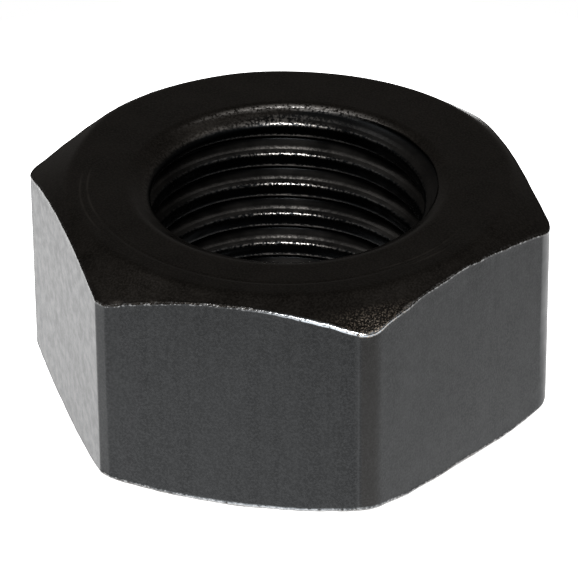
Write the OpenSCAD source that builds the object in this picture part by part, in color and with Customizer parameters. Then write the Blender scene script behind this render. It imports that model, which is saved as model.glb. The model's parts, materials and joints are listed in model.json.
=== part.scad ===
// Hexagon nut with a coarse metric right-hand thread.
// Millimetres, +Z up along the thread axis, origin at the centre of the lower bearing face.
// Two corners of the hexagon lie on the X axis, so two flats face -Y and +Y.

/* [Hexagon] */
// Width across the flats, which is the spanner size
across_flats = 46; // [44:0.5:50]
// Height between the two bearing faces
nut_height = 24; // [14:0.5:40]
// Diameter that the six upright corners are rounded to
corner_d = 52.4; // [51.6:0.1:57]

/* [Chamfers] */
// Diameter of the flat bearing face left inside each chamfer
bearing_d = 42.75; // [38:0.25:43.5]
// Slope of the chamfers, measured from the bearing face
chamfer_angle = 25; // [15:1:30]

/* [Thread] */
// Nominal diameter of the thread, at the root of its groove
thread_d = 30; // [29:0.1:31]
// Distance between neighbouring turns
thread_pitch = 3.5; // [3:0.1:3.8]
// Diameter of the bore at the crests of the thread
minor_d = 26.9; // [26.2:0.1:27.1]
// Clockwise turn of the thread about the axis, seen from above
thread_turn = 190; // [0:5:355]

/* [Countersinks] */
// Diameter of each countersink where it meets the bearing face
countersink_d = 31.3; // [31.1:0.1:33.5]
// Slope of the countersinks, measured from the bearing face
countersink_angle = 30; // [25:1:45]

/* [Hidden] */

// Straight steps in each turn of the thread groove
STEPS_PER_TURN = 48;
// Half of the angle between the two flanks of the thread
FLANK_ANGLE = 30;
// Share of the pitch that the flat root of the groove takes up
ROOT_SHARE = 1 / 8;
// How far the cutting shapes run past the surfaces that they cut
OVERLAP = 0.45;
// Sides of the drawn circles
ROUND_STEPS = 180;

across_corners = across_flats / cos(30);
minor_r = minor_d / 2;
countersink_depth = (countersink_d - minor_d) / 2 * tan(countersink_angle);

// The groove's section runs from inside the bore out to its root
groove_root_r = thread_d / 2;
groove_inner_r = minor_r - OVERLAP;
groove_root_half = thread_pitch * ROOT_SHARE / 2;
groove_inner_half = groove_root_half + (groove_root_r - groove_inner_r) * tan(FLANK_ANGLE);

// The groove starts a pitch below the nut and ends a pitch above it
groove_turns = ceil(nut_height / thread_pitch) + 2;
groove_start_z = -thread_pitch;
groove_steps = groove_turns * STEPS_PER_TURN;

// Radius and height of the groove section's corners about its middle
groove_section = [
    [groove_inner_r, -groove_inner_half],
    [groove_root_r, -groove_root_half],
    [groove_root_r, groove_root_half],
    [groove_inner_r, groove_inner_half]
];
section_count = len(groove_section);

// One corner of the section, turned and lifted to its place on a right-hand helix
function groove_point(corner, step) =
    let (turns = step / STEPS_PER_TURN)
    let (angle = 360 * turns - thread_turn)
    [
        corner[0] * cos(angle),
        corner[0] * sin(angle),
        corner[1] + groove_start_z + turns * thread_pitch
    ];

groove_points = [
    for (step = [0:groove_steps])
        for (corner = groove_section)
            groove_point(corner, step)
];

// Two triangles for each side of the section between one step and the next
groove_sides = [
    for (step = [0:groove_steps - 1])
        for (side = [0:section_count - 1])
            let (near = step * section_count + side)
            let (far = step * section_count + (side + 1) % section_count)
            each [
                [near, far, near + section_count],
                [far, far + section_count, near + section_count]
            ]
];
groove_first_end = [for (side = [section_count - 1:-1:0]) side];
groove_last_end = [
    for (side = [0:section_count - 1])
        groove_steps * section_count + side
];

// The hexagonal bar with its upright corners rounded
module hexagon_bar() {
    intersection() {
        cylinder(h = nut_height, d = across_corners, $fn = 6);
        cylinder(h = nut_height, d = corner_d, $fn = ROUND_STEPS);
    }
}

// Cone-ended envelope that chamfers the bar's corners at both ends
module chamfer_envelope() {
    reach = across_corners / 2 + 1;
    drop = (reach - bearing_d / 2) * tan(chamfer_angle);
    rotate_extrude($fn = ROUND_STEPS)
        polygon([
            [0, 0],
            [bearing_d / 2, 0],
            [reach, drop],
            [reach, nut_height - drop],
            [bearing_d / 2, nut_height],
            [0, nut_height]
        ]);
}

// Bore at the crests of the thread, with a countersink at each end
module countersunk_bore() {
    past = OVERLAP / tan(countersink_angle);
    rotate_extrude($fn = ROUND_STEPS)
        polygon([
            [0, -OVERLAP],
            [countersink_d / 2 + past, -OVERLAP],
            [minor_r, countersink_depth],
            [minor_r, nut_height - countersink_depth],
            [countersink_d / 2 + past, nut_height + OVERLAP],
            [0, nut_height + OVERLAP]
        ]);
}

// The helical groove between the crests
module thread_groove() {
    polyhedron(
        points = groove_points,
        faces = concat([groove_first_end], groove_sides, [groove_last_end]),
        convexity = 2 * groove_turns
    );
}

module hex_nut() {
    color([0.16, 0.16, 0.17])
        difference() {
            intersection() {
                hexagon_bar();
                chamfer_envelope();
            }
            countersunk_bore();
            thread_groove();
        }
}

hex_nut();
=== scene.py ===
"""Looks of a black hexagon nut with a coarse metric thread.

The nut is one closed mesh in millimetres, turned into metres when the object is made. It is built
in columns around the thread axis. Each column runs from the upper countersink over the bearing
face, the chamfer, the side and the lower face. The bore hangs between the two countersinks, and
its rows climb with the thread, so the crest edges stay clean.
"""

import json
import math

import bpy
import numpy as np
from mathutils import Matrix, Vector


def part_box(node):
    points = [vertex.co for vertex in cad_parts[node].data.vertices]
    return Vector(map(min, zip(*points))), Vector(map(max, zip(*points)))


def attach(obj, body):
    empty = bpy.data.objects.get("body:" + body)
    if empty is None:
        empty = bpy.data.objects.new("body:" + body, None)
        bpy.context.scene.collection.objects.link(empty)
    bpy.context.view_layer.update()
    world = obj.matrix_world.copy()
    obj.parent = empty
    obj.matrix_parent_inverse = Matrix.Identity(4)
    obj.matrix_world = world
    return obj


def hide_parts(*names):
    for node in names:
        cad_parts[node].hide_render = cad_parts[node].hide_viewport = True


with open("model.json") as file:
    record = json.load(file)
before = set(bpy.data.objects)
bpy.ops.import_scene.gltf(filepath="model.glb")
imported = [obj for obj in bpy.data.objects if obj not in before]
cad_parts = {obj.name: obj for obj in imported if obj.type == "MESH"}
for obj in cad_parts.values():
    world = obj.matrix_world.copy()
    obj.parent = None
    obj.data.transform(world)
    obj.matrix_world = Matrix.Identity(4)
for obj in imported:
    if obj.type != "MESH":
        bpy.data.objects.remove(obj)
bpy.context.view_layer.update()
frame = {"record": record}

# ---------------------------------------------------------------- sizes, in millimetres
MM = 0.001
LOW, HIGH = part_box("hex_nut")
HEIGHT = (HIGH.z - LOW.z) / MM
APOTHEM = (HIGH.y - LOW.y) / 2 / MM
# The corners stop just inside the CAD box
CORNER_R = (HIGH.x - LOW.x) / 2 / MM - 0.006
MOUNTS = {mount["name"]: mount for mount in frame["record"]["mounts"]}
CREST_R = MOUNTS["thread"]["dims"]["r_mm"]

# The thread. Its turn about the axis is clockwise from above, in degrees
PITCH = 3.5
ROOT_R = 15.0
THREAD_TURN = 190
CREST_HALF = 0.64
FLANK_SLOPE = 1 / math.tan(math.radians(30))
# How far from a crest's middle a fine line runs along the flank, and the flank's step there
FLANK_MARK = 1.0
FLANK_STEP = 0.09

# The countersinks and chamfers: their radius at the bearing face, and their slope
LIP_R = 15.65
LIP_SLOPE = math.tan(math.radians(30))
BEARING_R = 21.375
CHAMFER_SLOPE = math.tan(math.radians(25))

# The chamfers are uneven. These hold a value at each corner and each flat's middle, anticlockwise
# from the corner on +X: where the upper chamfer starts, its slope in degrees, and how much higher
# the lower chamfer's outer edge lies than on an even nut
CHAMFER_START = [21.5, 22.2, 22.3, 22.2, 22.5, 22.6, 21.7, 21.4, 21.4, 21.4, 21.4, 21.4]
CHAMFER_TILT = [26, 31, 36, 33, 32, 32, 27, 25, 25, 25, 25, 25]
LOWER_RISE = [-0.6, 0, 0, 0, 0, 0, 0, 0.35, -0.2, -0.15, -0.4, 0.3]

# Radius of the upper and lower edges' rounding, before the wear added to it
TOP_ROUNDING = 0.2
LOW_ROUNDING = 0.5
# Radius that each upright corner is rounded to, anticlockwise from the corner on +X
CORNER_FILLET = [2.9, 1.6, 1.6, 2.3, 0.6, 2.7]
CORNERS = len(CORNER_FILLET)
SECTOR = 2 * math.pi / CORNERS

# ---------------------------------------------------------------- wear, as angles from +X
# Where the upper edge is rounded the most and painted pale as a highlight, and where it has the most
# burrs
HIGHLIGHT_EDGE = math.radians(360 - 67)
RAGGED_EDGE = math.radians(360 - 25)
# Where the lower edge is rounded the most, and where paler specks on it are painted as a reflection of
# the floor. The corner on +X is rounded a little more too
LOW_WEAR_AND_SHEEN = math.radians(278)
# Scratches on the upper face: radius, first and last angle in degrees
SCRATCHES = [(19.4, 178, 216), (20.2, 186, 222), (18.9, 308, 344), (19.7, 316, 338)]
# Radius of the ring that a washer has pressed into the bearing faces
WASHER_RING_R = 19.4
# The middle of the painted glints on the thread's crests and the lip, on the bore's far side that
# faces the key light, in degrees
FAR_SIDE_GLINT_TURN = 103
# The patch of painted glints on the upper chamfer near the front corner: its middle in degrees, and
# the radius it starts at
GLINT_TURN = 302
GLINT_R = 23.2
# On the upright corners, in degrees: a pale line, a rubbed strip beside it, and a strip of painted
# reflection on the upper part of the corner on +X
PALE_LINE = 297.9
RUBBED_STRIP = (298, 303.4)
REFLECTION_STRIP = (-3.4, 4)

# Depths of the sides' waves, grain and chips. The inset keeps the waves inside the CAD box
WAVE_DEPTH = 0.02
RIPPLE_DEPTH = 0.008
GRAIN_DEPTH = 0.002
CHIP_DEPTH = 0.05
SIDE_INSET = 0.024
# Depths of the bearing faces' waves, of the washer's ring and of the scratches
FACE_WAVE_DEPTH = 0.012
WASHER_RING_DEPTH = 0.05
SCRATCH_DEPTH = 0.025
# Depths of the thread's score marks and chips
SCORE_DEPTH = 0.03
CREST_CHIP_DEPTH = 0.05

# ---------------------------------------------------------------- how the mesh is divided
SECTOR_COLUMNS = 72
COLUMNS = SECTOR_COLUMNS * CORNERS
CORNER_CROWDING = 0.6
BORE_STEP = 2
BORE_COLUMNS = COLUMNS // BORE_STEP
TOP_ARC_ROWS = 6
LOW_ARC_ROWS = 7
# Places of the rows down a side, and of those between a face's last even row and its edge
SIDE_SHARES = [0.012, *np.linspace(0.04, 0.96, 28), 0.985]
CHAMFER_SHARES = [0.14, 0.28, 0.42, 0.56, 0.7, 0.84, 0.95]
# The bore meets the bearing faces' rings at this depth, above where the groove opens
JOIN_DEPTH = 0.3
JOIN_GAP = 0.05


def soft_max(a, b, reach):
    """The larger of a and b, rounded where they are within reach of each other."""
    blend = np.clip((reach - np.abs(a - b)) / reach, 0, 1)
    return np.maximum(a, b) + blend * blend * reach / 4


def soft_min(a, b, reach):
    return -soft_max(-a, -b, reach)


def bell(values, middle, width):
    """1 where the values are at the middle, fading to 0 on both sides."""
    return np.exp(-((values - middle) / width) ** 2)


def rise(values, start, length):
    """0 up to start, then climbing to 1 over a length."""
    return np.clip((values - start) / length, 0, 1)


def fall(values, end, length):
    """1 at first, then dropping over a length to 0 at the end."""
    return np.clip((end - values) / length, 0, 1)


def noise(points, size, seed):
    """Smooth seeded noise between -1 and 1 whose lumps are about `size` across."""
    table = np.random.default_rng(seed).random((32, 32, 32)) * 2 - 1
    cell = np.asarray(points, float) / size
    base = np.floor(cell).astype(int)
    part = cell - base
    part = part * part * (3 - 2 * part)
    total = 0
    for corner in np.ndindex(2, 2, 2):
        weight = 1
        for axis in range(3):
            weight = weight * (part[..., axis] if corner[axis] else 1 - part[..., axis])
        index = (base + corner) % 32
        total = total + weight * table[index[..., 0], index[..., 1], index[..., 2]]
    return total


def lift(angle, r, z):
    """Points at an angle, a radius and a height."""
    return np.stack([np.cos(angle) * r, np.sin(angle) * r, z], -1)


def outward(angle):
    """Unit vectors that point away from the axis."""
    return lift(angle, 1, 0 * angle)


# ---------------------------------------------------------------- the nut's own shape
def column_angles():
    """Angles of the columns, crowded together at the six corners."""
    share = np.arange(SECTOR_COLUMNS) / SECTOR_COLUMNS * 2
    step = share - CORNER_CROWDING / math.pi * np.sin(math.pi * share)
    sector = step * math.pi / CORNERS
    return np.concatenate([sector + k * 2 * math.pi / CORNERS for k in range(CORNERS)])


def side_radius(angle):
    """Radius of the upright sides at each angle, with the corners rounded."""
    corner = np.round(angle / SECTOR).astype(int) % CORNERS
    off = np.abs((angle + SECTOR / 2) % SECTOR - SECTOR / 2)
    fillet = np.array(CORNER_FILLET)[corner]
    centre = (APOTHEM - fillet) / math.cos(SECTOR / 2)
    touch = np.arctan2(fillet * math.sin(SECTOR / 2), centre + fillet * math.cos(SECTOR / 2))
    flat = APOTHEM / np.cos(SECTOR / 2 - off)
    inside_arc = np.clip(fillet ** 2 - (centre * np.sin(off)) ** 2, 0, None)
    round_part = centre * np.cos(off) + np.sqrt(inside_arc)
    return np.minimum(np.where(off < touch, round_part, flat), CORNER_R)


def around(values, angle):
    """Smooth blend of twelve values spaced evenly around the nut."""
    place = (angle / (2 * math.pi) * 12) % 12
    step = np.floor(place).astype(int)
    part = place - step
    part = part * part * (3 - 2 * part)
    values = np.array(values, float)
    return values[step % 12] * (1 - part) + values[(step + 1) % 12] * part


def countersink_r(depth):
    """Radius of a countersink at a depth below its bearing face."""
    return LIP_R - depth / LIP_SLOPE


def off_crest(climb):
    """Distance along the axis from the nearest crest's middle, negative below it."""
    return (climb + PITCH / 2) % PITCH - PITCH / 2


def thread_radius(climb):
    """Radius of the thread at a height above a crest's middle."""
    across = np.abs(off_crest(climb))
    flank = CREST_R + (across - CREST_HALF) * FLANK_SLOPE
    step = -FLANK_STEP * rise(across, FLANK_MARK, 0.1)
    return soft_min(soft_max(flank + step, CREST_R + 0 * across, 0.22), ROOT_R, 0.25)


def crest_climb(angle, z):
    """Height above the middle of one crest, for a right-hand thread."""
    groove_z = PITCH * (angle / (2 * math.pi) + THREAD_TURN / 360)
    return z - groove_z - PITCH / 2


def end_reach(depth):
    """How far the edge between a countersink and the thread is rounded at each depth."""
    return 0.12 + 0.5 * rise(depth, JOIN_DEPTH, 0.6)


def bore_radius(angle, z):
    """Radius of the thread with the countersinks cut into its ends."""
    radius = thread_radius(crest_climb(angle, z))
    radius = soft_max(radius, countersink_r(HEIGHT - z), end_reach(HEIGHT - z))
    return soft_max(radius, countersink_r(z), end_reach(z))


# ---------------------------------------------------------------- the outer surface, top to bottom
def arc_rows(corner_r, corner_z, cone_slope, size, count, upper):
    """Rows that round the edge between a chamfer and a side. size is the arc's radius."""
    tilt = np.arctan(cone_slope)
    turn = math.pi / 2 - tilt
    tangent = size * np.tan(turn / 2)
    rows = []
    for share in np.linspace(0, 1, count):
        bend = turn * share
        # Walks the arc from the cone's tangent point to the side's
        r = corner_r - tangent * np.cos(tilt) + size * (np.sin(tilt + bend) - np.sin(tilt))
        drop = -tangent * np.sin(tilt) + size * (np.cos(tilt) - np.cos(tilt + bend))
        z = corner_z - drop if upper else corner_z + drop
        rows.append((r, z))
    return rows


def edge_reach(slope):
    """How far in from a side its edge's rounding starts on the chamfer, for a radius of 1."""
    tilt = np.arctan(slope)
    return np.tan((math.pi / 2 - tilt) / 2) * np.cos(tilt)


def face_drop(r, start, slope):
    """How far a bearing face has dropped at radius r, from its countersink and its chamfer."""
    inner = soft_max((LIP_R - r) * LIP_SLOPE, 0 * r, JOIN_DEPTH)
    outer = soft_max((r - start) * slope, 0 * r, 0.16)
    return inner + outer


def face_rows(end_r, start, slope, marked):
    """Radius and drop of a bearing face's rows out to end_r. A marked face has more of them."""
    fixed = np.concatenate([
        np.linspace(countersink_r(JOIN_DEPTH), 16.3, 11)[:-1],
        np.linspace(16.3, 18.5, 4)[:-1],
        np.linspace(18.5, 20.6, 22 if marked else 4)[:-1],
        np.linspace(20.6, 22.6, 9),
    ])
    radii = [r + 0 * end_r for r in fixed]
    radii += [fixed[-1] + (end_r - fixed[-1]) * share for share in CHAMFER_SHARES]
    return [(r, face_drop(r, start, slope)) for r in radii]


angles = column_angles()
side_r = side_radius(angles)
rim = lift(angles, side_r, 0 * angles)


def edge_burrs():
    """How far the edges wander up and down, most of all in front and near the ragged place."""
    front = 0.5 - 0.5 * np.sin(angles)
    burr = 0.07 * noise(rim, 1.4, 13) + 0.05 * noise(rim, 0.7, 14)
    return burr * (0.25 + 0.75 * front + 0.9 * bell(angles, RAGGED_EDGE, 0.35))


def upper_rows(burr):
    """Rows from the upper countersink to the end of the edge's rounding, and the edge's height."""
    size = TOP_ROUNDING + 0.05 * noise(rim, 3, 11) + 0.16 * bell(angles, HIGHLIGHT_EDGE, 0.14)
    start = around(CHAMFER_START, angles)
    slope = np.tan(np.radians(around(CHAMFER_TILT, angles)))
    edge_z = HEIGHT - (side_r - start) * slope + burr
    face = face_rows(side_r - size * edge_reach(slope), start, slope, True)
    arc = arc_rows(side_r, edge_z, slope, size, TOP_ARC_ROWS, True)
    rows = [(r, HEIGHT - drop, r - side_r) for r, drop in face]
    rows += [(r, z, (edge_z - z) - 0.12) for r, z in arc]
    return rows, edge_z


def lower_rows(burr):
    """Rows from the end of the lower edge's rounding to the countersink, and the edge's height."""
    size = LOW_ROUNDING + 0.12 * noise(rim, 5, 12) + 0.5 * bell(angles, LOW_WEAR_AND_SHEEN, 0.5)
    size = size + 0.4 * bell(np.sin(angles / 2), 0, 0.06)
    edge_drop = (side_r - BEARING_R) * CHAMFER_SLOPE + around(LOWER_RISE, angles)
    slope = edge_drop / (side_r - BEARING_R)
    edge_z = edge_drop + 0.6 * burr
    face = face_rows(side_r - size * edge_reach(slope), BEARING_R, slope, False)
    arc = arc_rows(side_r, edge_z, slope, size, LOW_ARC_ROWS, False)
    rows = [(r, drop, r - side_r) for r, drop in face]
    rows += [(r, z, (z - edge_z) - 0.3) for r, z in arc]
    return rows[::-1], edge_z


def side_rows(first_z, last_z, upper_z, lower_z):
    """Rows of the upright sides between the two edges' roundings."""
    rows = []
    for share in SIDE_SHARES:
        z = first_z + (last_z - first_z) * share
        rows.append((side_r, z, np.minimum(upper_z - z, z - lower_z)))
    return rows


def outer_rows():
    """Each row's radius, height and distance inside the sides' edges, negative on the chamfers."""
    burr = edge_burrs()
    upper, upper_z = upper_rows(burr)
    lower, lower_z = lower_rows(burr)
    return upper + side_rows(upper[-1][1], lower[0][1], upper_z, lower_z) + lower


outer = outer_rows()
OUTER_ROWS = len(outer)
outer_r = np.array([row[0] for row in outer])
outer_z = np.array([row[1] for row in outer])
outer_edge = np.array([row[2] for row in outer])
outer_angles = np.broadcast_to(angles, outer_r.shape)
outer_turn = np.degrees(outer_angles)
on_top = outer_z > HEIGHT / 2

# ---------------------------------------------------------------- the bore, bottom to top
# Heights of the rows above and below the middle of a crest
CREST_ROWS = [-0.62, -0.38, -0.2, 0, 0.2, 0.38, 0.62]
EDGE_ROWS = [0.72, 0.8, 0.88, 0.95, 1.0]
FLANK_ROWS = [1.1, 1.25, 1.42, 1.58]
ROOT_ROWS = [1.66, 1.72]
HALF_ROWS = EDGE_ROWS + FLANK_ROWS + ROOT_ROWS
PITCH_ROWS = sorted([-row for row in HALF_ROWS] + CREST_ROWS + HALF_ROWS)
ROWS_PER_PITCH = len(PITCH_ROWS)
# Turns of the thread, from below the nut to above it
TURNS = range(-3, int(HEIGHT / PITCH) + 2)

bore_columns = angles[::BORE_STEP]
row_climb = np.array([turn * PITCH + row for turn in TURNS for row in PITCH_ROWS])
start_z = row_climb + PITCH * THREAD_TURN / 360 + PITCH / 2
bore_z = start_z[:, None] + PITCH * bore_columns[None, :] / (2 * math.pi)
bore_angles = np.broadcast_to(bore_columns, bore_z.shape)
bore_turn = np.degrees(bore_angles)
bore_r = bore_radius(bore_angles, bore_z)
BORE_ROWS = len(start_z)

# The bore's rows run past both countersinks, and only the ones inside are kept
above = bore_z > HEIGHT - JOIN_DEPTH - JOIN_GAP
below = bore_z < JOIN_DEPTH + JOIN_GAP
inside = ~(above | below)
end_gap = HEIGHT / 2 - np.abs(bore_z - HEIGHT / 2)


# ---------------------------------------------------------------- waves, marks and scratches
def scratch_strength(angle, r):
    """How strongly the scratches mark the upper face at a place, from 0 to 1."""
    total = 0 * r
    for radius, first, last in SCRATCHES:
        turn = np.degrees(angle)
        ends = rise(turn, first, 8) * fall(turn, last, 8)
        drift = 0.25 * np.sin((turn - first) / 14)
        total = np.maximum(total, ends * bell(r - drift, radius, 0.09))
    return total


def weather_outer(points, angle, r, z, edge):
    """Moves the outer points by the small dents and waves of a forged and cut surface."""
    wave = WAVE_DEPTH * noise(points, 6, 21) + RIPPLE_DEPTH * noise(points, 1.6, 22)
    grain = noise(points * [1, 1, 0.2], 0.9, 23) * GRAIN_DEPTH
    chips = -CHIP_DEPTH * np.clip(noise(points, 0.9, 24) - 0.1, 0, 1) * bell(edge, 0, 0.35)
    depth = (wave + grain - SIDE_INSET) * rise(edge, 0, 0.3) + chips
    points = points + outward(angle) * depth[..., None]
    # The bearing faces: slight waves, the washer's ring and the scratches
    face = rise(-edge, 0, 0.6)
    ring = bell(r, WASHER_RING_R, 0.16) * np.clip(0.2 - np.sin(angle), 0, 1)
    patch = 0.5 + 0.5 * noise(lift(angle, 20 + 0 * r, 0 * z), 7, 25)
    sink = face * (FACE_WAVE_DEPTH * (1 + noise(points, 5, 26)) + WASHER_RING_DEPTH * ring * patch)
    sink = sink + SCRATCH_DEPTH * scratch_strength(angle, r) * (z > HEIGHT / 2)
    points[..., 2] += np.where(z > HEIGHT / 2, -1.0, 1.0) * sink
    return points


def weather_bore(points, angle, z):
    """Adds the tap's score marks along the thread and small chips on the crests."""
    climb = crest_climb(angle, z)
    across = off_crest(climb)
    crest = np.exp(-(across / 0.85) ** 4)
    trail = np.stack([across, angle * 2.2, np.round(climb / PITCH)], -1)
    score = noise(trail * [1, 0.25, 7], 0.35, 31) * SCORE_DEPTH
    chip = CREST_CHIP_DEPTH * np.clip(noise(points, 0.8, 32), 0, 1)
    depth = (score + chip) * crest * rise(end_gap, 0.9, 0.4)
    return points + outward(angle) * depth[..., None]


outer_points = lift(outer_angles, outer_r, outer_z)
outer_points = weather_outer(outer_points, outer_angles, outer_r, outer_z, outer_edge)
bore_points = weather_bore(lift(bore_angles, bore_r, bore_z), bore_angles, bore_z)

# ---------------------------------------------------------------- one closed mesh
outer_ids = np.arange(OUTER_ROWS * COLUMNS).reshape(OUTER_ROWS, COLUMNS)
bore_ids = np.full(bore_z.shape, -1)
bore_ids[inside] = OUTER_ROWS * COLUMNS + np.arange(inside.sum())


def bore_vertex(row, column):
    """Where a bore vertex belongs ("own", or the "high" or "low" ring), and its index or column."""
    if column == BORE_COLUMNS:
        # Past the seam the thread is a pitch higher
        row = row + ROWS_PER_PITCH
        column = 0
    if row >= BORE_ROWS or above[row, column]:
        return "high", column
    if below[row, column]:
        return "low", column
    return "own", bore_ids[row, column]


def ring_vertex(kind, column):
    """Index of a vertex on the ring where a bearing face's countersink meets the bore."""
    row = 0 if kind == "high" else OUTER_ROWS - 1
    return outer_ids[row, column % COLUMNS]


def row_corners(pair, ends, kind):
    """The corners along a bore face's lower or upper side, with all of the ring's if it lies there."""
    if pair[0][0] == kind and pair[1][0] == kind:
        step = 1 if ends[1] > ends[0] else -1
        steps = range(ends[0] * BORE_STEP, ends[1] * BORE_STEP + step, step)
        return [ring_vertex(kind, column) for column in steps]
    found = []
    for (name, index), column in zip(pair, ends):
        found.append(index if name == "own" else ring_vertex(name, column * BORE_STEP))
    return found


def bore_face(row, column):
    """The corners of one bore face, or None where it lies past the countersinks."""
    low_side = [bore_vertex(row, column), bore_vertex(row, column + 1)]
    high_side = [bore_vertex(row + 1, column + 1), bore_vertex(row + 1, column)]
    kinds = [kind for kind, _ in low_side + high_side]
    if kinds.count("high") == 4 or kinds.count("low") == 4:
        return None
    corners = row_corners(low_side, (column, column + 1), "low")
    corners += row_corners(high_side, (column + 1, column), "high")
    face = []
    for vertex in corners:
        if vertex not in face:
            face.append(int(vertex))
    return face if len(face) > 2 else None


def outer_faces():
    faces = []
    for row in range(OUTER_ROWS - 1):
        for column in range(COLUMNS):
            beside = (column + 1) % COLUMNS
            corners = [
                outer_ids[row, column], outer_ids[row + 1, column],
                outer_ids[row + 1, beside], outer_ids[row, beside],
            ]
            faces.append([int(vertex) for vertex in corners])
    return faces


def bore_faces():
    faces = []
    for row in range(BORE_ROWS - 1):
        for column in range(BORE_COLUMNS):
            face = bore_face(row, column)
            if face:
                faces.append(face[::-1])
    return faces


points = np.concatenate([outer_points.reshape(-1, 3), bore_points[inside]])
mesh = bpy.data.meshes.new("nut_body")
mesh.from_pydata((points * MM).tolist(), [], outer_faces() + bore_faces())
mesh.update()
mesh.shade_smooth()


# ---------------------------------------------------------------- where the material changes
def store(name, outer_values, bore_values):
    """Keeps one number per vertex for the material."""
    values = np.concatenate([outer_values.ravel(), bore_values[inside]]).astype(np.float32)
    mesh.attributes.new(name, "FLOAT", "POINT").data.foreach_set("value", values)


NO_OUTER = 0 * outer_r
NO_BORE = 0 * bore_r


def store_thread():
    """The thread, darkened as painted shade, its flanks, paled as painted light, and its worn ridges
    along the crests and in the countersinks, with painted glints.
    """
    across = np.abs(off_crest(crest_climb(bore_angles, bore_z)))
    cone_gap = bore_r - countersink_r(end_gap)
    thread_only = rise(cone_gap, 0, 0.1)
    # Painted shade: marks the whole thread for darkening
    store("bore", NO_OUTER, thread_only)
    flank = rise(across, 0.72, 0.1) * fall(across, 1.6, 0.1)
    # Painted light: marks the upward-facing flanks for paling, fading out near the two faces
    store("flank", NO_OUTER, flank * thread_only * rise(end_gap, 0.6, 1.2))
    crest_edge = 0.8 * bell(across, CREST_HALF + 0.03, 0.1) * rise(cone_gap, 0, 0.15)
    cone_end = bell(bore_r, CREST_R + 0.5, 0.3) * fall(cone_gap, 0.25, 0.25)
    flank_line = 0.35 * bell(across, FLANK_MARK + 0.05, 0.06)
    # Painted glints: the ridges' pale specks are strongest on the far side that faces the key light,
    # with a little wear all round
    wear_and_glints = 0.1 + 0.9 * bell(bore_turn, FAR_SIDE_GLINT_TURN, 17)
    ridge = np.maximum(np.maximum(crest_edge, cone_end), flank_line)
    store("ridge", NO_OUTER, ridge * wear_and_glints)


def store_lip():
    """The upper countersink's lip, with painted glints on the far side only, where the key light
    falls.
    """
    # Painted glints: only on the lip's far side
    outer_lip = bell(outer_r, 15.3, 0.17) * bell(outer_turn, FAR_SIDE_GLINT_TURN, 24)
    bore_lip = bell(bore_r, 15.2, 0.17) * bell(bore_turn, FAR_SIDE_GLINT_TURN, 24)
    store("lip", outer_lip * on_top, bore_lip * (end_gap < 0.6))


def store_edges():
    """The sides' edges, the painted highlights on them, and the painted glints and the scratches on
    the upper face.
    """
    store("edge_mm", outer_edge, np.full(bore_z.shape, -9.0))
    # Painted highlight: pale uncoated metal on the upper edge where the key light's highlight falls
    bare_highlight = bell(outer_angles, HIGHLIGHT_EDGE, 0.2) * on_top
    # Painted reflection: paler specks on the lower edge in front, where it mirrors the floor
    pale = 0.3 * bell(outer_angles, LOW_WEAR_AND_SHEEN, 0.4) * ~on_top
    store("painted_highlight", bare_highlight + pale, NO_BORE)
    # Painted glints on the chamfer, facing the key light
    glints = bell(outer_turn, GLINT_TURN, 8) * rise(outer_r, GLINT_R, 1.5)
    store("glints", glints * (outer_edge < 0.1) * on_top, NO_BORE)
    store("mark", scratch_strength(outer_angles, outer_r) * on_top, NO_BORE)


def store_corners():
    """The upright corners: a pale line and a painted reflection are above 0, and rubbed metal below.
    """
    pale_line = 0.45 * bell(outer_turn, PALE_LINE, 0.4)
    rubbed = rise(outer_turn, RUBBED_STRIP[0], 0.5) * fall(outer_turn, RUBBED_STRIP[1], 2)
    signed_turn = (outer_turn + 180) % 360 - 180
    # Painted reflection: a pale strip on the upper part of the corner on +X
    strip = 2 * rise(signed_turn, REFLECTION_STRIP[0], 0.5) * fall(signed_turn, REFLECTION_STRIP[1], 0.6)
    strip = strip * rise(outer_z, 5, 8)
    store("corner", (pale_line - rubbed + strip) * (outer_edge > 0), NO_BORE)


store_thread()
store_lip()
store_edges()
store_corners()

nut = bpy.data.objects.new("nut_body", mesh)
bpy.context.scene.collection.objects.link(nut)
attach(nut, "root")
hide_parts("hex_nut")


# ---------------------------------------------------------------- material
# Numbers of the two colour inputs of a Mix node
MIX_A = 6
MIX_B = 7


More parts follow.
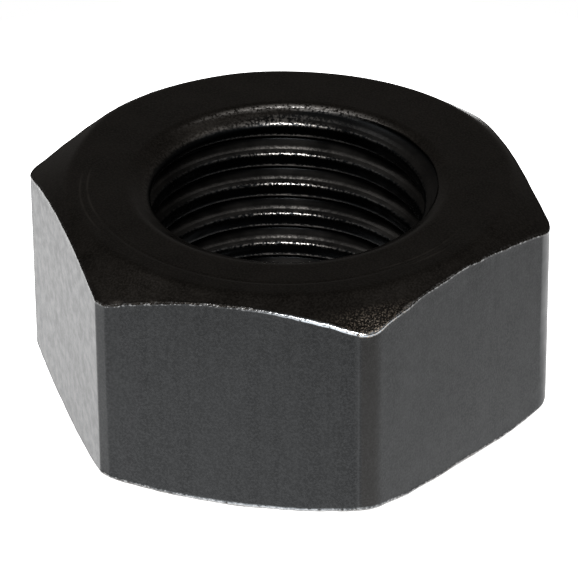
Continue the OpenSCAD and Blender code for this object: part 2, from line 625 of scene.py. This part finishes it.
class Nodes:
    """Short calls that add and join a material's nodes."""

    def __init__(self, name):
        self.material = bpy.data.materials.new(name)
        self.material.use_nodes = True
        self.tree = self.material.node_tree
        self.shader = self.tree.nodes["Principled BSDF"]

    def put(self, socket, value):
        """Links another node's output to a socket, or sets the socket to a plain value."""
        if hasattr(value, "is_linked"):
            self.tree.links.new(value, socket)
        else:
            socket.default_value = value

    def put_all(self, sockets, values):
        for socket, value in zip(sockets, values):
            self.put(socket, value)

    def add(self, kind, **inputs):
        node = self.tree.nodes.new(kind)
        for name, value in inputs.items():
            self.put(node.inputs[name], value)
        return node

    def math(self, operation, a, b=0.0):
        node = self.add("ShaderNodeMath")
        node.operation = operation
        self.put_all(node.inputs, (a, b))
        return node.outputs[0]

    def product(self, a, b):
        return self.math("MULTIPLY", a, b)

    def larger(self, a, b):
        return self.math("MAXIMUM", a, b)

    def attribute(self, name):
        node = self.add("ShaderNodeAttribute")
        node.attribute_name = name
        return node.outputs["Fac"]

    def ramp(self, value, low, high, to_low=0.0, to_high=1.0):
        """Goes smoothly from to_low to to_high while the value goes from low to high."""
        node = self.add("ShaderNodeMapRange")
        node.interpolation_type = "SMOOTHSTEP"
        self.put_all(node.inputs, (value, low, high, to_low, to_high))
        return node.outputs["Result"]

    def noise(self, place, scale, detail, roughness=0.5):
        node = self.add("ShaderNodeTexNoise", Vector=place, Scale=scale, Detail=detail)
        self.put(node.inputs["Roughness"], roughness)
        return node.outputs["Fac"]

    def mix(self, share, a, b):
        """Colour a where the share is 0 and colour b where it is 1."""
        node = self.add("ShaderNodeMix")
        node.data_type = "RGBA"
        self.put(node.inputs["Factor"], share)
        self.put(node.inputs[MIX_A], a)
        self.put(node.inputs[MIX_B], b)
        return node.outputs[2]


def grey(level, warm=0.0):
    """A grey that leans to red when warm is above 0, and to blue when it is below."""
    return (level * (1 + warm), level, level * (1 - warm), 1)


def steel_grain(n):
    """The noise patterns of the steel."""
    place = n.add("ShaderNodeTexCoord").outputs["Object"]
    upright = n.add("ShaderNodeMapping", Vector=place, Scale=(1, 1, 0.06)).outputs["Vector"]
    return {
        "mottle": n.noise(place, 260, 4, 0.6),
        "ragged": n.noise(place, 900, 3, 0.6),
        "gloss": n.noise(place, 900, 4, 0.7),
        "streak": n.noise(upright, 900, 3, 0.6),
        "specks": n.noise(place, 3600, 1),
        "fine": n.noise(place, 4800, 2, 0.6),
        "glitter": n.noise(place, 5200, 1),
    }


def face_colour(n, grain):
    """The faces and chamfers: near black, with a paler grain and scratches."""
    mottle = grain["mottle"]
    colour = n.mix(n.ramp(mottle, 0.3, 0.7), grey(0.026, 0.12), grey(0.038, 0.12))
    colour = n.mix(n.ramp(grain["fine"], 0.35, 0.7), colour, grey(0.062, 0.1))
    scratched = n.product(n.attribute("mark"), n.ramp(mottle, 0.35, 0.55))
    return n.mix(scratched, colour, grey(0.1, 0.1))


def side_colour(n, grain):
    """The flats: dark grey with faint upright streaks, and the marks and painted reflection on the
    upright corners.
    """
    mottle = grain["mottle"]
    corner = n.attribute("corner")
    colour = n.mix(n.ramp(mottle, 0.3, 0.7), grey(0.020, -0.03), grey(0.023, -0.03))
    colour = n.mix(n.ramp(grain["streak"], 0.35, 0.7), colour, grey(0.026, -0.03))
    colour = n.mix(n.ramp(grain["fine"], 0.35, 0.7), colour, grey(0.035, -0.03))
    rubbed = n.product(n.larger(n.product(corner, -1.0), 0.0), 0.4)
    colour = n.mix(rubbed, colour, grey(0.028, 0.08))
    # The pale line, and the painted reflection, on the corners
    pale = n.product(n.larger(corner, 0.0), n.ramp(mottle, 0.25, 0.5, 0.3, 0.5))
    return n.mix(pale, colour, grey(0.085, -0.02))


def thread_colour(n, grain, colour):
    """Paints shade into the thread, and paints light back onto its upward-facing flanks."""
    # Painted shade: a near-black, bluish thread
    colour = n.mix(n.attribute("bore"), colour, grey(0.011, -0.1))
    # Painted light: paler flanks, as they face up
    flank = n.mix(n.ramp(grain["mottle"], 0.3, 0.7), grey(0.028, 0.04), grey(0.045, 0.06))
    return n.mix(n.attribute("flank"), colour, flank)


def wear_and_glint_colour(n, grain, colour, band, wear_and_glints):
    """Adds uncoated metal in specks to the edges and the thread's ridges, and painted glints and
    highlights as pale specks on the ridges, the lip, the edges' highlight stretches and the glint
    patch.
    """
    specks = grain["specks"]
    colour = n.mix(n.product(band, n.ramp(specks, 0.5, 0.62)), colour, grey(0.22))
    # Painted glints: pale specks on the ridges and the lip where the key light falls, over a little
    # wear
    colour = n.mix(n.product(wear_and_glints, n.ramp(specks, 0.42, 0.6)), colour, grey(0.5, 0.06))
    # Painted glints: near white specks on the lip's far side
    lip = n.product(n.attribute("lip"), n.ramp(specks, 0.34, 0.5))
    colour = n.mix(lip, colour, grey(0.85, 0.03))
    # Painted highlight and reflection: pale, bluish uncoated metal on the edges' highlight stretches
    bare_highlight = n.product(n.product(band, n.attribute("painted_highlight")), n.ramp(specks, 0.3, 0.44))
    colour = n.mix(bare_highlight, colour, grey(0.75, -0.07))
    # Painted glints: warm pale specks in the chamfer's patch
    glint = n.product(n.attribute("glints"), n.ramp(grain["glitter"], 0.52, 0.62))
    return n.mix(glint, colour, grey(0.42, 0.18))


def steel_roughness(n, grain, side):
    """Satin faces, slightly duller flanks in the thread, and duller flats."""
    faces = n.ramp(grain["mottle"], 0.3, 0.7, 0.26, 0.34)
    faces = n.math("ADD", faces, n.product(n.attribute("flank"), 0.05))
    flats = n.ramp(grain["gloss"], 0.3, 0.7, 0.38, 0.46)
    not_side = n.math("SUBTRACT", 1.0, side)
    return n.math("ADD", n.product(faces, not_side), n.product(flats, side))


def steel_bumps(n, grain, worn):
    """Fine grain all over, and coarser bumps where the metal is worn or carries painted glints."""
    height = n.math("ADD", n.product(grain["fine"], 0.9), n.product(grain["streak"], 0.1))
    fine = n.add("ShaderNodeBump", Strength=0.25, Distance=0.00003, Height=height)
    height = n.product(grain["specks"], n.larger(worn, n.attribute("glints")))
    coarse = n.add("ShaderNodeBump", Strength=0.8, Distance=0.0001, Height=height)
    n.put(coarse.inputs["Normal"], fine.outputs["Normal"])
    return coarse.outputs["Normal"]


def black_steel():
    n = Nodes("black_steel")
    grain = steel_grain(n)
    edge = n.attribute("edge_mm")
    wander = n.product(n.math("SUBTRACT", grain["ragged"], 0.5), 0.35)
    side = n.ramp(n.math("ADD", edge, wander), -0.05, 0.05)
    band = n.math("SUBTRACT", 1.0, n.ramp(n.math("ABSOLUTE", edge), 0.0, 0.3))
    # Where the ridges and the lip carry wear and painted glints
    wear_and_glints = n.larger(n.attribute("lip"), n.attribute("ridge"))
    colour = n.mix(side, face_colour(n, grain), side_colour(n, grain))
    colour = thread_colour(n, grain, colour)
    colour = wear_and_glint_colour(n, grain, colour, band, wear_and_glints)
    n.put(n.shader.inputs["Base Color"], colour)
    n.put(n.shader.inputs["Metallic"], 1.0)
    n.put(n.shader.inputs["Roughness"], steel_roughness(n, grain, side))
    n.put(n.shader.inputs["Normal"], steel_bumps(n, grain, n.larger(band, wear_and_glints)))
    return n.material


mesh.materials.append(black_steel())

# ---------------------------------------------------------------- floor
# Radius in metres, sides of the disc and strength of its glow
FLOOR_R = 0.085
FLOOR_SIDES = 96
FLOOR_GLOW = 1.75
# The glow begins between these two radii, in metres
GLOW_START = (0.017, 0.0215)
# It grows in this direction, from the least share to the most over the span on each side
GLOW_DIRECTION = (-0.9, 0.4, 0)
GLOW_SPAN = 0.05
GLOW_LEAST = 0.68
GLOW_MOST = 1.35


def floor_material():
    """A light table, dark only where the nut stands and its bore looks down on it."""
    n = Nodes("pale_floor")
    place = n.add("ShaderNodeTexCoord").outputs["Object"]
    tone = n.mix(n.noise(place, 3, 2), grey(0.84), grey(0.88))
    away = n.add("ShaderNodeVectorMath")
    away.operation = "LENGTH"
    n.put(away.inputs[0], place)
    glow = n.ramp(away.outputs["Value"], *GLOW_START, 0.0, FLOOR_GLOW)
    along = n.add("ShaderNodeVectorMath")
    along.operation = "DOT_PRODUCT"
    n.put_all(along.inputs, (place, GLOW_DIRECTION))
    slant = n.ramp(along.outputs["Value"], -GLOW_SPAN, GLOW_SPAN, GLOW_LEAST, GLOW_MOST)
    n.put(n.shader.inputs["Base Color"], tone)
    n.put(n.shader.inputs["Emission Color"], tone)
    n.put(n.shader.inputs["Emission Strength"], n.product(glow, slant))
    n.put(n.shader.inputs["Roughness"], 0.8)
    n.put(n.shader.inputs["Specular IOR Level"], 0.2)
    return n.material


def add_floor():
    """A small round floor at the height of the nut's lower face."""
    floor_mesh = bpy.data.meshes.new("floor")
    turns = [2 * math.pi * k / FLOOR_SIDES for k in range(FLOOR_SIDES)]
    edge = [(math.cos(turn) * FLOOR_R, math.sin(turn) * FLOOR_R, LOW.z) for turn in turns]
    floor_mesh.from_pydata(edge, [], [tuple(range(FLOOR_SIDES))])
    floor_mesh.materials.append(floor_material())
    floor = bpy.data.objects.new("floor", floor_mesh)
    bpy.context.scene.collection.objects.link(floor)


add_floor()

# ---------------------------------------------------------------- light and camera, in metres
TARGET = Vector((0, 0, (LOW.z + HIGH.z) / 2))
VIEW_AZIMUTH = 13.17
VIEW_ELEVATION = 31.38
VIEW_ROLL = -0.0069
CAMERA_DISTANCE = 0.45978
LENS = 288.3
SENSOR = 36.0
SHIFT_X = 0.0010
SHIFT_Y = -0.0072
LIGHT_DISTANCE = 0.9
# What the world gives off to everything but the camera
DIM_WORLD = (0.105, 0.1, 0.095, 1)


def direction(azimuth, elevation):
    """Unit vector towards a place seen from the nut. Azimuth 0 is in front, at -Y, and +90 at +X."""
    a = math.radians(azimuth)
    e = math.radians(elevation)
    return Vector((math.sin(a) * math.cos(e), -math.cos(a) * math.cos(e), math.sin(e)))


def aim(obj, place, roll=0.0):
    """Puts a light or camera at a place, looking at the target. roll is in radians."""
    back = (place - TARGET).normalized()
    right = Vector((0, 0, 1)).cross(back).normalized()
    up = back.cross(right)
    turned_right = right * math.cos(roll) + up * math.sin(roll)
    turned_up = up * math.cos(roll) - right * math.sin(roll)
    basis = Matrix((turned_right, turned_up, back)).transposed()
    obj.matrix_world = Matrix.Translation(place) @ basis.to_4x4()


def soft_light(name, azimuth, elevation, width, height, irradiance):
    """A rectangular soft light. irradiance is what it gives a surface facing it at the nut."""
    light = bpy.data.lights.new(name, "AREA")
    light.shape = "RECTANGLE"
    light.size = width
    light.size_y = height
    light.energy = irradiance * math.pi * LIGHT_DISTANCE * LIGHT_DISTANCE
    obj = bpy.data.objects.new(name, light)
    bpy.context.scene.collection.objects.link(obj)
    aim(obj, TARGET + direction(azimuth, elevation) * LIGHT_DISTANCE)


def add_camera():
    """Sees the nut from the photo's side."""
    data = bpy.data.cameras.new("camera")
    data.lens = LENS
    data.sensor_width = SENSOR
    data.clip_start = 0.01
    data.shift_x = SHIFT_X
    data.shift_y = SHIFT_Y
    camera = bpy.data.objects.new("camera", data)
    bpy.context.scene.collection.objects.link(camera)
    place = TARGET + direction(VIEW_AZIMUTH, VIEW_ELEVATION) * CAMERA_DISTANCE
    aim(camera, place, VIEW_ROLL)
    bpy.context.scene.camera = camera


def add_world():
    """White to the camera, and dim to everything else."""
    world = bpy.data.worlds.new("studio")
    world.use_nodes = True
    tree = world.node_tree
    ray = tree.nodes.new("ShaderNodeLightPath")
    shade = tree.nodes.new("ShaderNodeMix")
    shade.data_type = "RGBA"
    shade.inputs[MIX_A].default_value = DIM_WORLD
    shade.inputs[MIX_B].default_value = (1, 1, 1, 1)
    tree.links.new(ray.outputs["Is Camera Ray"], shade.inputs["Factor"])
    tree.links.new(shade.outputs[2], tree.nodes["Background"].inputs["Color"])
    bpy.context.scene.world = world


soft_light("key", VIEW_AZIMUTH + 1, 46, width=0.18, height=0.24, irradiance=3.6)
soft_light("left_fill", -75, 55, width=0.4, height=0.3, irradiance=0.2)
soft_light("right_fill", 100, 55, width=0.4, height=0.3, irradiance=0.15)
add_camera()
add_world()
bpy.context.scene.view_settings.view_transform = "Standard"
